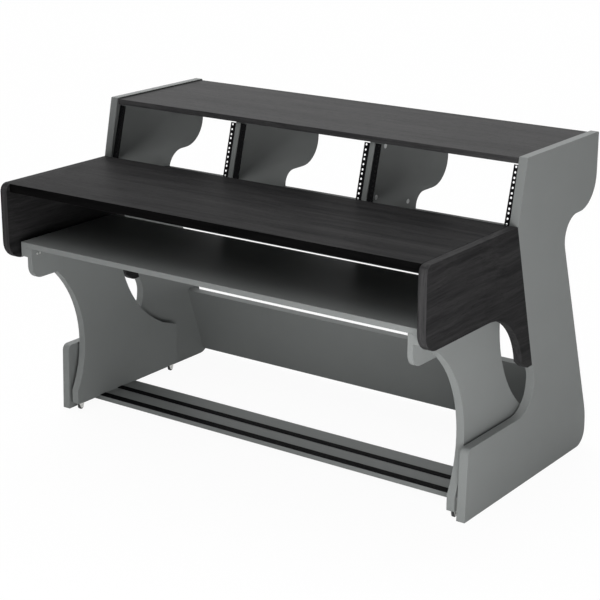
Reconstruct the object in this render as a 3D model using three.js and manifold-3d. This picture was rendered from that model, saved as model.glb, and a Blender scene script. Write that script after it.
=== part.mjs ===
// A studio desk: a fixed desk with a rack of three bays, and a keyboard trolley that rolls in under it.
// Lengths are millimetres. X runs to the right, Y to the back and Z up.
// Side view places are measured from the rack foot, the top rear edge of the desktop: back in Y, up in Z.

import * as THREE from "three";
import { mergeVertices } from "three/addons/utils/BufferGeometryUtils.js";
import Module from "manifold-3d";

const wasm = await Module();
wasm.setup();

const DEGREE = Math.PI / 180;

// Rack standard
const RACK_UNIT_HEIGHT = 44.45;
const RACK_UNITS = 4;
const RACK_HOLE_SPREAD = 465.1;
const RACK_HOLE_END = 6.35;
const RACK_HOLE_STEP = 15.875;
const RACK_HOLES_PER_UNIT = 3;
const RACK_HOLE_DIAMETER = 7;
const BAYS = 3;

// Whole desk
const DESKTOP_HEIGHT = 825;
const FRONT_REACH = 487;
const REAR_REACH = 504;
const SEAT_GAP = 0.3;

// Side panels
const PANEL_THICKNESS = 28;
const PANEL_RISE = 193;
const PANEL_LEAN = 12.45 * DEGREE;
const PANEL_BACK = 492;
const PANEL_TOP_RADIUS = 3;
const BACK_CURVE_RADIUS = 100;
const WAIST_DROP = 36;
const WAIST_RADIUS = 72;
const REAR_SLOPE = 18.67 * DEGREE;
const HEEL_HEIGHT = 101;
const HEEL_RADIUS = 200;
const HEEL_FOOT_RADIUS = 51;
const FOOT_HEIGHT = 223.5;
const FOOT_CURVE_REACH = 201;
const FOOT_CURVE_RADIUS = 92.5;
const TOE_TOP_REACH = 240;
const TOE_FLOOR_REACH = 249;
const TOE_RADIUS = 20;
const TOE_FLOOR_RADIUS = 2;
const JUNCTION_DROP = 451;
const JUNCTION_LEAN = 15.4 * DEGREE;

// Side cheeks
const CHEEK_HEIGHT = 248;
const CHEEK_TOP_RADIUS = 26;
const CHEEK_FOOT_RADIUS = 58;
const ARCH_CROWN_BACK = 26.5;
const ARCH_BACK = 59;
const ARCH_DROP = 426;
const ARCH_RADIUS = 213;
const NOSE_BACK = 93;
const NOSE_DROP = 452;
const NOSE_RADIUS = 25;

// Desktop and top shelf
const DESKTOP_THICKNESS = 28;
const DESKTOP_SETBACK = 15;
const SHELF_THICKNESS = 18;
const SHELF_RISE = 170.6;
const SHELF_FRONT = 46.6;
const SHELF_BACK = 489;

// Dividers
const DIVIDER_THICKNESS = 18;
const DIVIDER_FRONT = 6.25;
const DIVIDER_SETBACK = 8.5;
const DIVIDER_DROP = 185;
const DIVIDER_CURVE_RADIUS = 90;
const DIVIDER_WAIST_BACK = 293;
const DIVIDER_WAIST_RADIUS = 45;
const SHOULDER_REACH = 60;
const SHOULDER_HEIGHT = 34;
const SHOULDER_SLOPE_RUN = 45;
const SHOULDER_RADIUS = 12;

// Rack rails
const RAIL_LEAN = 15.2 * DEGREE;
const RAIL_FACE_PLACE = 8.5;
const RAIL_TOP_GAP = 4.5;
const RAIL_SHEET = 2;
const RAIL_FACE_WIDTH = 21;
const RAIL_SIDE_DEPTH = 28;
const RAIL_HOLE_INSET = 13.8;
const RAIL_SCREW_BACK = 17;
const RAIL_SCREW_SHARES = [0.18, 0.82];
const RAIL_SCREW_BITE = 8;

// Rear beam and modesty panel
const BEAM_THICKNESS = 28;
const BEAM_HEIGHT = 204;
const BEAM_DROP = 86;
const BEAM_INSET = 0.5;
const MODESTY_THICKNESS = 22;
const MODESTY_LENGTH = 258.3;
const MODESTY_INSET = 38;
const MODESTY_HEEL_OVERHANG = 70;

// Keyboard tray and its arms
const TRAY_DROP = 190.5;
const TRAY_THICKNESS = 18;
const TRAY_DEPTH = 430.5;
const TRAY_SETBACK = 36;
const ARM_THICKNESS = 18;
const ARM_LENGTH = 137;
const ARM_HEIGHT = 100;
const ARM_RADIUS = 40;
const ARM_SCREW_DROP = 19.5;
const ARM_SCREW_SETBACK = 25;
const ARM_SCREW_SPACING = 12;
const ARM_SCREW_BITE = 9;

// Trolley legs
const LEG_THICKNESS = 26;
const LEG_SIDE_GAP = 12;
const TROLLEY_SHIFT = 4.5;
const LEG_FLOOR_GAP = 25;
const LEG_BROW = 46.6;
const LEG_FRONT_HOLLOW = 128.6;
const LEG_TOE_REACH = 248.6;
const LEG_TOE_HEIGHT = 47.7;
const LEG_HEEL_REACH = 268.5;
const LEG_HEEL_HEIGHT = 146.4;
const LEG_REAR_HOLLOW = 81.6;
const LEG_BACK_HEIGHT = 89.5;
const LEG_OVERRUN = 1.5;
const LEG_CORNER_RADIUS = 3;

// Footrest
const FOOTREST_THICKNESS = 16;
const FOOTREST_FRONT = 140.5;
const FOOTREST_DEPTH = 181.5;
const STRIP_THICKNESS = 3;
const FRONT_STRIP_DEPTH = 26;
const REAR_STRIP_DEPTH = 22;
const REAR_STRIP_FRONT = 52;

// Castors
const WHEEL_DIAMETER = 21;
const WHEEL_WIDTH = 9;
const WHEEL_EDGE = 1.5;
const WHEEL_DISH_DEPTH = 1;
const WHEEL_RIM = 3.5;
const WHEEL_HUB_DIAMETER = 9;
const AXLE_DIAMETER = 4;
const AXLE_HEAD_DIAMETER = 7;
const AXLE_HEAD_HEIGHT = 1;
const AXLE_CLEARANCE = 0.1;
const FORK_SIDE_GAP = 0.5;
const BRACKET_SHEET = 1.6;
const BRACKET_WIDTH = 24;
const BRACKET_RISE = 43;
const BRACKET_CORNER_RADIUS = 5;
const FORK_TIP_RADIUS = 5.5;
const CASTOR_SETBACK = 24;
const BRACKET_SCREW_RISES = [13, 31];
const BRACKET_SCREW_BITE = 12;

// Screws
const SCREW_DIAMETER = 3.5;
const SCREW_TIP = 2;
const SCREW_HEAD_DIAMETER = 7;
const SCREW_HEAD_HEIGHT = 1.8;
const SCREW_HEAD_CROWN_SHARE = 0.6;
const SCREW_CLEARANCE = 0.15;

// Facets: an arc's chords stay this close to it, and turn no more than the widest step
const ARC_TOLERANCE = 0.3;
const WIDEST_STEP = 45 * DEGREE;
const SCREW_SIDES = 8;
const RACK_HOLE_SIDES = 8;
const AXLE_SIDES = 12;
const WHEEL_SIDES = 24;

// Heights and widths that several pieces share
const floorZ = -DESKTOP_HEIGHT;
const bayWidth = RACK_HOLE_SPREAD + 2 * RAIL_HOLE_INSET;
const innerHalf = (BAYS * bayWidth + (BAYS - 1) * DIVIDER_THICKNESS) / 2;
const outerHalf = innerHalf + PANEL_THICKNESS;
const legOuter = innerHalf - LEG_SIDE_GAP;
const legInner = legOuter - LEG_THICKNESS;
const legFloor = floorZ + LEG_FLOOR_GAP;
const trayTop = -TRAY_DROP;
const trayUnder = trayTop - TRAY_THICKNESS;
const trayFront = TRAY_SETBACK - FRONT_REACH;
const trayBack = trayFront + TRAY_DEPTH;
const beamTop = -BEAM_DROP;
const SIDES = { left: -1, right: 1 };

// Finishes
const greyBoard = new THREE.MeshStandardMaterial({ color: 0x70747c, roughness: 0.6, metalness: 0 });
const wengeBoard = new THREE.MeshStandardMaterial({ color: 0x2a2628, roughness: 0.5, metalness: 0 });
const blackSteel = new THREE.MeshStandardMaterial({ color: 0x161616, roughness: 0.5, metalness: 0.6 });
const zincSteel = new THREE.MeshStandardMaterial({ color: 0xb8b8b2, roughness: 0.35, metalness: 0.9 });
const blackPlastic = new THREE.MeshStandardMaterial({ color: 0x18181a, roughness: 0.5, metalness: 0 });
const blackRubber = new THREE.MeshStandardMaterial({ color: 0x101112, roughness: 0.85, metalness: 0 });

// Solids: closed geometry that can be cut and joined
function solidOf(geometry) {
  const plain = geometry.index ? geometry.toNonIndexed() : geometry.clone();
  plain.deleteAttribute("normal");
  plain.deleteAttribute("uv");
  const merged = mergeVertices(plain);
  const mesh = new wasm.Mesh({
    numProp: 3,
    vertProperties: merged.attributes.position.array,
    triVerts: new Uint32Array(merged.index.array),
  });
  return new wasm.Manifold(mesh);
}

function geometryOf(solid) {
  const { vertProperties, triVerts } = solid.getMesh();
  const geometry = new THREE.BufferGeometry();
  geometry.setAttribute("position", new THREE.BufferAttribute(vertProperties, 3));
  geometry.setIndex(new THREE.BufferAttribute(triVerts, 1));
  geometry.computeVertexNormals();
  return geometry;
}

// The base geometry joined with some geometries and cut by others
function shaped(base, { joined = [], cut = [] }) {
  let solid = solidOf(base);
  for (const extra of joined) solid = solid.add(solidOf(extra));
  for (const cutter of cut) solid = solid.subtract(solidOf(cutter));
  return geometryOf(solid);
}

// A box between two corners
function block(x0, x1, y0, y1, z0, z1) {
  const middle = new THREE.Vector3(x0 + x1, y0 + y1, z0 + z1).divideScalar(2);
  const size = new THREE.Vector3(x1 - x0, y1 - y0, z1 - z0);
  const place = new THREE.Matrix4().makeTranslation(middle).scale(size);
  return new THREE.BoxGeometry(1, 1, 1).applyMatrix4(place);
}

// A board cut to a side view outline of [y, z] points, from x0 to x1
function board(points, x0, x1) {
  const shape = new THREE.Shape(points.map(([y, z]) => new THREE.Vector2(y, z)));
  const slab = new THREE.ExtrudeGeometry(shape, { depth: 1, bevelEnabled: false });
  const place = new THREE.Matrix4().makeBasis(
    new THREE.Vector3(0, 1, 0),
    new THREE.Vector3(0, 0, 1),
    new THREE.Vector3(x1 - x0, 0, 0),
  );
  place.setPosition(x0, 0, 0);
  return slab.applyMatrix4(place);
}

// The same board on the left or the right: near and far count outwards from the middle
function sideBoard(points, side, near, far) {
  return side < 0 ? board(points, -far, -near) : board(points, near, far);
}

// A round bar along X, from x0 up to x1
function bar(radius, sides, x0, x1, y, z) {
  const rod = new THREE.CylinderGeometry(radius, radius, 1, sides);
  const place = new THREE.Matrix4().makeBasis(
    new THREE.Vector3(0, 1, 0),
    new THREE.Vector3(x1 - x0, 0, 0),
    new THREE.Vector3(0, 0, -1),
  );
  place.setPosition((x0 + x1) / 2, y, z);
  return rod.applyMatrix4(place);
}

// Side view outlines

function arcPoints(centre, radius, from, to) {
  const finest = 2 * Math.acos(Math.max(0, 1 - ARC_TOLERANCE / radius));
  const steps = Math.ceil(Math.abs(to - from) / Math.min(finest, WIDEST_STEP));
  return Array.from({ length: steps + 1 }, (_, i) => {
    const angle = from + ((to - from) * i) / steps;
    return [centre[0] + radius * Math.cos(angle), centre[1] + radius * Math.sin(angle)];
  });
}

// The arc from start to end that bulges by depth to the left of the way there
function hollow(start, end, depth) {
  const way = [end[0] - start[0], end[1] - start[1]];
  const chord = Math.hypot(...way);
  const radius = (chord * chord) / (8 * depth) + depth / 2;
  const inward = (radius - depth) / chord;
  const middle = [(start[0] + end[0]) / 2, (start[1] + end[1]) / 2];
  const centre = [middle[0] + way[1] * inward, middle[1] - way[0] * inward];
  const from = Math.atan2(start[1] - centre[1], start[0] - centre[0]);
  const sweep = 2 * Math.asin(chord / (2 * radius));
  const inner = arcPoints(centre, radius, from, from - sweep).slice(1, -1);
  return [start, ...inner, end];
}

// Corners of [y, z, radius] joined by straight runs, each corner rounded by its radius.
// Where two rounds don't fit on the run between them, both shrink alike.
function rounded(corners) {
  const count = corners.length;
  const rounds = corners.map((corner, i) => {
    const before = corners[(i + count - 1) % count];
    const after = corners[(i + 1) % count];
    const inward = new THREE.Vector2(corner[0] - before[0], corner[1] - before[1]);
    const outward = new THREE.Vector2(after[0] - corner[0], after[1] - corner[1]);
    const run = outward.length();
    const turn = Math.atan2(inward.cross(outward), inward.dot(outward));
    const reach = (corner[2] ?? 0) * Math.tan(Math.abs(turn) / 2);
    return { inward: inward.normalize(), run, turn, reach };
  });
  const fits = rounds.map((round, i) => {
    const next = rounds[(i + 1) % count];
    return Math.min(1, round.run / (round.reach + next.reach || round.run));
  });
  return corners.flatMap((corner, i) => {
    const { inward, turn, reach } = rounds[i];
    if (!reach) return [[corner[0], corner[1]]];
    const fit = Math.min(fits[i], fits[(i + count - 1) % count]);
    const radius = corner[2] * fit;
    const hand = Math.sign(turn);
    const start = [corner[0] - inward.x * reach * fit, corner[1] - inward.y * reach * fit];
    const centre = [start[0] - hand * inward.y * radius, start[1] + hand * inward.x * radius];
    const from = Math.atan2(start[1] - centre[1], start[0] - centre[0]);
    return arcPoints(centre, radius, from, from + turn);
  });
}

// Screws

function screw(side, x, y, z, length) {
  const shank = SCREW_DIAMETER / 2;
  const head = SCREW_HEAD_DIAMETER / 2;
  const profile = [
    [0, -length],
    [shank, SCREW_TIP - length],
    [shank, 0],
    [head, 0],
    [head * SCREW_HEAD_CROWN_SHARE, SCREW_HEAD_HEIGHT],
    [0, SCREW_HEAD_HEIGHT],
  ];
  const turned = new THREE.LatheGeometry(
    profile.map(([radius, along]) => new THREE.Vector2(radius, along)),
    SCREW_SIDES,
  );
  const place = new THREE.Matrix4().makeBasis(
    new THREE.Vector3(0, 1, 0),
    new THREE.Vector3(-side, 0, 0),
    new THREE.Vector3(0, 0, side),
  );
  place.setPosition(x, y, z);
  return turned.applyMatrix4(place);
}

// The hole for a screw's shank, from its head's seat at x
function screwHole(side, x, y, z, length) {
  const radius = SCREW_DIAMETER / 2 + SCREW_CLEARANCE;
  const ends = [x - side * SEAT_GAP, x + side * (length + SEAT_GAP)];
  return bar(radius, SCREW_SIDES, Math.min(...ends), Math.max(...ends), y, z);
}

// Side panels and cheeks

const slopeCorner = [REAR_REACH, floorZ + HEEL_HEIGHT];
const waistCorner = [
  REAR_REACH + (slopeCorner[1] + WAIST_DROP) * Math.tan(REAR_SLOPE),
  -WAIST_DROP,
];
const junctionEnd = [JUNCTION_DROP * Math.tan(JUNCTION_LEAN), -JUNCTION_DROP];

function panelOutline() {
  return rounded([
    [0, 0],
    [junctionEnd[0], junctionEnd[1]],
    [FOOT_CURVE_REACH, floorZ + FOOT_HEIGHT, FOOT_CURVE_RADIUS],
    [-TOE_TOP_REACH, floorZ + FOOT_HEIGHT, TOE_RADIUS],
    [-TOE_FLOOR_REACH, floorZ, TOE_FLOOR_RADIUS],
    [REAR_REACH, floorZ, HEEL_FOOT_RADIUS],
    [slopeCorner[0], slopeCorner[1], HEEL_RADIUS],
    [waistCorner[0], waistCorner[1], WAIST_RADIUS],
    [PANEL_BACK, -WAIST_DROP, BACK_CURVE_RADIUS],
    [PANEL_BACK, PANEL_RISE, PANEL_TOP_RADIUS],
    [PANEL_RISE * Math.tan(PANEL_LEAN), PANEL_RISE, PANEL_TOP_RADIUS],
  ]);
}

function cheekOutline() {
  return rounded([
    [0, 0],
    [-FRONT_REACH, 0, CHEEK_TOP_RADIUS],
    [-FRONT_REACH, -CHEEK_HEIGHT, CHEEK_FOOT_RADIUS],
    [ARCH_CROWN_BACK, -CHEEK_HEIGHT, ARCH_RADIUS],
    [ARCH_BACK, -ARCH_DROP],
    [NOSE_BACK, -NOSE_DROP, NOSE_RADIUS],
    [junctionEnd[0], junctionEnd[1]],
  ]);
}

// Rack: rails lean back with the fronts of the dividers

const railLength = RACK_UNITS * RACK_UNIT_HEIGHT;
const railTopZ = SHELF_RISE - RAIL_TOP_GAP;

// The [y, z] place that lies this far down along a rail from its top end, and this far behind its face
function railPlace(down, back) {
  const z = railTopZ - down * Math.cos(RAIL_LEAN) - back * Math.sin(RAIL_LEAN);
  const faceTop = RAIL_FACE_PLACE + railTopZ * Math.tan(RAIL_LEAN);
  return [faceTop - down * Math.sin(RAIL_LEAN) + back * Math.cos(RAIL_LEAN), z];
}

function railOutline(depth) {
  return [railPlace(0, 0), railPlace(railLength, 0), railPlace(railLength, depth), railPlace(0, depth)];
}

// The holes of one rail, each a bar square to its face
function rackHoles(x) {
  const holes = [];
  for (let unit = 0; unit < RACK_UNITS; unit++) {
    for (let hole = 0; hole < RACK_HOLES_PER_UNIT; hole++) {
      const down = unit * RACK_UNIT_HEIGHT + RACK_HOLE_END + hole * RACK_HOLE_STEP;
      const [y, z] = railPlace(down, RAIL_SHEET / 2);
      const radius = RACK_HOLE_DIAMETER / 2;
      const drill = new THREE.CylinderGeometry(radius, radius, 2 * RAIL_SHEET, RACK_HOLE_SIDES);
      holes.push(drill.rotateX(-RAIL_LEAN).translate(x, y, z));
    }
  }
  return holes;
}

const railScrewPlaces = RAIL_SCREW_SHARES.map((share) => railPlace(share * railLength, RAIL_SCREW_BACK));
const railScrewLength = RAIL_SHEET + RAIL_SCREW_BITE;

// The faces that carry a rail: side is +1 where the board lies to the right of the rail
function railSeats() {
  const seats = [];
  for (let bay = 0; bay < BAYS; bay++) {
    const left = -innerHalf + bay * (bayWidth + DIVIDER_THICKNESS);
    seats.push({ name: `bay_${bay + 1}_left`, side: -1, x: left });
    seats.push({ name: `bay_${bay + 1}_right`, side: 1, x: left + bayWidth });
  }
  return seats;
}

function rail({ side, x }) {
  const span = (outline, width) => {
    const edge = x - side * width;
    return board(outline, Math.min(x, edge), Math.max(x, edge));
  };
  const flange = x - side * RAIL_SHEET;
  return shaped(span(railOutline(RAIL_SHEET), RAIL_FACE_WIDTH), {
    joined: [span(railOutline(RAIL_SIDE_DEPTH), RAIL_SHEET)],
    cut: [
      ...rackHoles(x - side * RAIL_HOLE_INSET),
      ...railScrewPlaces.map(([y, z]) => screwHole(side, flange, y, z, railScrewLength)),
    ],
  });
}

// The screw holes of the rails that stand against a board from x0 to x1
function railScrewHoles(x0, x1) {
  const near = (x, face) => Math.abs(x - face) < SEAT_GAP;
  const seats = railSeats().filter(({ x }) => near(x, x0) || near(x, x1));
  return seats.flatMap(({ side, x }) =>
    railScrewPlaces.map(([y, z]) => screwHole(side, x - side * RAIL_SHEET, y, z, railScrewLength)),
  );
}

// Dividers: they stand on the beam, with a shoulder under the desktop

const dividerBack = PANEL_BACK - DIVIDER_SETBACK;
const waistFront = waistCorner[0] + WAIST_RADIUS * (Math.tan((Math.PI / 2 + REAR_SLOPE) / 2) - 1);
const beamBack = waistFront - BEAM_INSET;
const beamFront = beamBack - BEAM_THICKNESS;
const beamUnder = beamTop - BEAM_HEIGHT;

function dividerOutline() {
  const shoulder = -DESKTOP_THICKNESS;
  return rounded([
    [DIVIDER_FRONT, shoulder],
    [-SHOULDER_REACH, shoulder],
    [-SHOULDER_REACH, shoulder - SHOULDER_HEIGHT, SHOULDER_RADIUS],
    [-SHOULDER_REACH + SHOULDER_SLOPE_RUN, -DIVIDER_DROP, SHOULDER_RADIUS],
    [DIVIDER_WAIST_BACK, -DIVIDER_DROP],
    [DIVIDER_WAIST_BACK, -WAIST_DROP, DIVIDER_WAIST_RADIUS],
    [dividerBack, -WAIST_DROP, DIVIDER_CURVE_RADIUS],
    [dividerBack, SHELF_RISE],
    [DIVIDER_FRONT + SHELF_RISE * Math.tan(RAIL_LEAN), SHELF_RISE],
    [DIVIDER_FRONT, 0],
  ]);
}

function divider(x0, x1) {
  const notch = block(
    x0 - SEAT_GAP,
    x1 + SEAT_GAP,
    beamFront - SEAT_GAP,
    PANEL_BACK,
    beamUnder - SEAT_GAP,
    beamTop + SEAT_GAP,
  );
  return shaped(board(dividerOutline(), x0, x1), { cut: [notch, ...railScrewHoles(x0, x1)] });
}

// Modesty panel: parallel to the rear slope of the side panels

function modestyOutline() {
  const up = [-Math.sin(REAR_SLOPE), Math.cos(REAR_SLOPE)];
  const inward = [-Math.cos(REAR_SLOPE), -Math.sin(REAR_SLOPE)];
  const place = (along, deep) => [
    slopeCorner[0] + up[0] * along + inward[0] * deep,
    slopeCorner[1] + up[1] * along + inward[1] * deep,
  ];
  const top = MODESTY_LENGTH - MODESTY_HEEL_OVERHANG;
  const deep = MODESTY_INSET + MODESTY_THICKNESS;
  return [
    place(-MODESTY_HEEL_OVERHANG, MODESTY_INSET),
    place(top, MODESTY_INSET),
    place(top, deep),
    place(-MODESTY_HEEL_OVERHANG, deep),
  ];
}

// Trolley legs, and the places of their screws

function legOutline() {
  const brow = [trayFront, trayTop - LEG_BROW];
  const toe = [-LEG_TOE_REACH, legFloor + LEG_TOE_HEIGHT];
  const heel = [LEG_HEEL_REACH, legFloor + LEG_HEEL_HEIGHT];
  const back = [trayBack + LEG_OVERRUN, trayTop - LEG_BACK_HEIGHT];
  const corners = rounded([
    [-LEG_TOE_REACH, legFloor, LEG_CORNER_RADIUS],
    [LEG_HEEL_REACH, legFloor, LEG_CORNER_RADIUS],
    [LEG_HEEL_REACH, legFloor + LEG_HEEL_HEIGHT],
    [-LEG_TOE_REACH, legFloor + LEG_TOE_HEIGHT],
  ]).slice(0, -2);
  return [
    [trayFront, trayTop],
    ...hollow(brow, toe, LEG_FRONT_HOLLOW),
    ...corners,
    ...hollow(heel, back, LEG_REAR_HOLLOW),
    [back[0], trayTop],
  ];
}

const castorPlaces = { front: CASTOR_SETBACK - LEG_TOE_REACH, rear: LEG_HEEL_REACH - CASTOR_SETBACK };
const bracketScrewZ = BRACKET_SCREW_RISES.map((rise) => legFloor + rise);
const bracketScrewLength = BRACKET_SHEET + BRACKET_SCREW_BITE;
const armInner = legInner - ARM_THICKNESS;
const armScrewLength = ARM_THICKNESS + ARM_SCREW_BITE;
const armScrewZ = trayUnder - ARM_SCREW_DROP;
const armScrewFront = trayFront + ARM_SCREW_SETBACK;
const armScrewY = { front: armScrewFront, rear: armScrewFront + ARM_SCREW_SPACING };

function leg(side) {
  const bracketFace = side * (legOuter + BRACKET_SHEET);
  const bracketHoles = Object.values(castorPlaces).flatMap((y) =>
    bracketScrewZ.map((z) => screwHole(-side, bracketFace, y, z, bracketScrewLength)),
  );
  const armHoles = Object.values(armScrewY).map((y) =>
    screwHole(side, side * armInner, y, armScrewZ, armScrewLength),
  );
  return shaped(sideBoard(legOutline(), side, legInner, legOuter), { cut: [...bracketHoles, ...armHoles] });
}

function arm(side) {
  const outline = rounded([
    [trayFront, trayUnder],
    [trayFront, trayUnder - ARM_HEIGHT, ARM_RADIUS],
    [trayFront + ARM_LENGTH, trayUnder - ARM_HEIGHT],
    [trayFront + ARM_LENGTH, trayUnder],
  ]);
  const holes = Object.values(armScrewY).map((y) =>
    screwHole(side, side * armInner, y, armScrewZ, armScrewLength),
  );
  return shaped(sideBoard(outline, side, armInner, legInner), { cut: holes });
}

// Castors: an angle with a fork, a wheel and a riveted axle

const axleZ = floorZ + WHEEL_DIAMETER / 2;
const castorX = (legInner + legOuter) / 2;
const forkInside = WHEEL_WIDTH / 2 + FORK_SIDE_GAP;
const forkOutside = forkInside + BRACKET_SHEET;

function bracket(side, y) {
  const front = y - BRACKET_WIDTH / 2;
  const back = y + BRACKET_WIDTH / 2;
  const under = legFloor - BRACKET_SHEET;
  const top = legFloor + BRACKET_RISE;
  const upright = rounded([
    [front, under],
    [back, under],
    [back, top, BRACKET_CORNER_RADIUS],
    [front, top, BRACKET_CORNER_RADIUS],
  ]);
  const cheek = rounded([
    [front, legFloor],
    [y - FORK_TIP_RADIUS, axleZ - FORK_TIP_RADIUS, FORK_TIP_RADIUS],
    [y + FORK_TIP_RADIUS, axleZ - FORK_TIP_RADIUS, FORK_TIP_RADIUS],
    [back, legFloor],
  ]);
  const plateNear = castorX - forkOutside;
  const plateFar = legOuter + BRACKET_SHEET;
  const flat = [
    [front, under],
    [back, under],
    [back, legFloor],
    [front, legFloor],
  ];
  const axleHole = bar(
    AXLE_DIAMETER / 2 + AXLE_CLEARANCE,
    AXLE_SIDES,
    side * castorX - forkOutside - SEAT_GAP,
    side * castorX + forkOutside + SEAT_GAP,
    y,
    axleZ,
  );
  return shaped(sideBoard(upright, side, legOuter, plateFar), {
    joined: [
      sideBoard(flat, side, plateNear, plateFar),
      sideBoard(cheek, side, castorX - forkOutside, castorX - forkInside),
      sideBoard(cheek, side, castorX + forkInside, castorX + forkOutside),
    ],
    cut: [
      axleHole,
      ...bracketScrewZ.map((z) => screwHole(-side, side * plateFar, y, z, bracketScrewLength)),
    ],
  });
}

// A shape turned about X from a closed profile of [radius, x] points
function turned(profile, sides, x, y) {
  const lathe = new THREE.LatheGeometry(
    profile.map(([radius, along]) => new THREE.Vector2(radius, along)),
    sides,
  );
  return lathe.rotateZ(-Math.PI / 2).translate(x, y, axleZ);
}

function wheel(side, y) {
  const bore = (AXLE_DIAMETER / 2 + AXLE_CLEARANCE) / Math.cos(Math.PI / WHEEL_SIDES);
  const half = WHEEL_WIDTH / 2;
  const dish = half - WHEEL_DISH_DEPTH;
  const tread = WHEEL_DIAMETER / 2;
  const rim = tread - WHEEL_RIM;
  const hub = WHEEL_HUB_DIAMETER / 2;
  const profile = [
    [bore, -half],
    [hub, -half],
    [hub, -dish],
    [rim, -dish],
    [rim, -half],
    [tread - WHEEL_EDGE, -half],
    [tread, WHEEL_EDGE - half],
    [tread, half - WHEEL_EDGE],
    [tread - WHEEL_EDGE, half],
    [rim, half],
    [rim, dish],
    [hub, dish],
    [hub, half],
    [bore, half],
    [bore, -half],
  ];
  return turned(profile, WHEEL_SIDES, side * castorX, y);
}

function axle(side, y) {
  const shaft = AXLE_DIAMETER / 2;
  const head = AXLE_HEAD_DIAMETER / 2;
  const seat = forkOutside + SEAT_GAP / 2;
  const end = seat + AXLE_HEAD_HEIGHT;
  const profile = [
    [0, -end],
    [head, -end],
    [head, -seat],
    [shaft, -seat],
    [shaft, seat],
    [head, seat],
    [head, end],
    [0, end],
  ];
  return turned(profile, AXLE_SIDES, side * castorX, y);
}

// Assembly

const desk = new THREE.Group();
desk.position.set(0, (FRONT_REACH - REAR_REACH) / 2, DESKTOP_HEIGHT);

const fixed = new THREE.Group();
const trolley = new THREE.Group();
trolley.position.x = TROLLEY_SHIFT;
desk.add(fixed, trolley);

function place(group, name, material, geometry) {
  const mesh = new THREE.Mesh(geometry, material);
  mesh.name = name;
  group.add(mesh);
}

for (const [hand, side] of Object.entries(SIDES)) {
  const inner = side * innerHalf;
  const holes = railScrewHoles(inner, inner);
  const panel = sideBoard(panelOutline(), side, innerHalf, outerHalf);
  place(fixed, `side_panel_${hand}`, greyBoard, shaped(panel, { cut: holes }));
  place(fixed, `side_cheek_${hand}`, wengeBoard, sideBoard(cheekOutline(), side, innerHalf, outerHalf));
  const dividerMiddle = (side * (bayWidth + DIVIDER_THICKNESS)) / 2;
  const x0 = dividerMiddle - DIVIDER_THICKNESS / 2;
  place(fixed, `divider_${hand}`, greyBoard, divider(x0, x0 + DIVIDER_THICKNESS));
}

const desktop = block(-innerHalf, innerHalf, DESKTOP_SETBACK - FRONT_REACH, 0, -DESKTOP_THICKNESS, 0);
place(fixed, "desktop", wengeBoard, desktop);
const shelfTop = SHELF_RISE + SHELF_THICKNESS;
const shelf = block(-innerHalf, innerHalf, SHELF_FRONT, SHELF_BACK, SHELF_RISE, shelfTop);
place(fixed, "top_shelf", wengeBoard, shelf);
const beam = block(-innerHalf, innerHalf, beamFront, beamBack, beamUnder, beamTop);
place(fixed, "rear_beam", greyBoard, beam);
place(fixed, "modesty_panel", greyBoard, board(modestyOutline(), -innerHalf, innerHalf));

for (const seat of railSeats()) {
  place(fixed, `rack_rail_${seat.name}`, blackSteel, rail(seat));
  railScrewPlaces.forEach(([y, z], i) => {
    const head = seat.x - seat.side * RAIL_SHEET;
    const name = `rail_screw_${seat.name}_${i === 0 ? "top" : "bottom"}`;
    place(fixed, name, blackSteel, screw(seat.side, head, y, z, railScrewLength));
  });
}

const tray = block(-legInner, legInner, trayFront, trayBack, trayUnder, trayTop);
place(trolley, "keyboard_tray", greyBoard, tray);
const footrestBack = FOOTREST_DEPTH - FOOTREST_FRONT;
const footrestUnder = legFloor - FOOTREST_THICKNESS;
const plank = block(-legOuter, legOuter, -FOOTREST_FRONT, footrestBack, footrestUnder, legFloor);
place(trolley, "footrest", greyBoard, plank);
const strips = {
  front: [-FOOTREST_FRONT, FRONT_STRIP_DEPTH],
  rear: [-REAR_STRIP_FRONT, REAR_STRIP_DEPTH],
};
for (const [name, [y, depth]] of Object.entries(strips)) {
  const strip = block(-legInner, legInner, y, y + depth, legFloor, legFloor + STRIP_THICKNESS);
  place(trolley, `footrest_strip_${name}`, blackRubber, strip);
}

for (const [hand, side] of Object.entries(SIDES)) {
  place(trolley, `trolley_leg_${hand}`, greyBoard, leg(side));
  place(trolley, `tray_arm_${hand}`, greyBoard, arm(side));
  for (const [end, y] of Object.entries(armScrewY)) {
    const geometry = screw(side, side * armInner, y, armScrewZ, armScrewLength);
    place(trolley, `arm_screw_${hand}_${end}`, zincSteel, geometry);
  }
  for (const [end, y] of Object.entries(castorPlaces)) {
    place(trolley, `castor_bracket_${end}_${hand}`, zincSteel, bracket(side, y));
    place(trolley, `castor_wheel_${end}_${hand}`, blackPlastic, wheel(side, y));
    place(trolley, `castor_axle_${end}_${hand}`, zincSteel, axle(side, y));
    bracketScrewZ.forEach((z, i) => {
      const name = `castor_screw_${end}_${hand}_${i === 0 ? "lower" : "upper"}`;
      const face = side * (legOuter + BRACKET_SHEET);
      place(trolley, name, zincSteel, screw(-side, face, y, z, bracketScrewLength));
    });
  }
}

export default desk;
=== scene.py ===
"""A studio desk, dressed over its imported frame: boards with eased edges, rack rails, screws and castors."""

import math

import bmesh
import bpy
from bpy.props import FloatProperty, FloatVectorProperty, IntProperty, PointerProperty
from mathutils import Matrix, Vector


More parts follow.
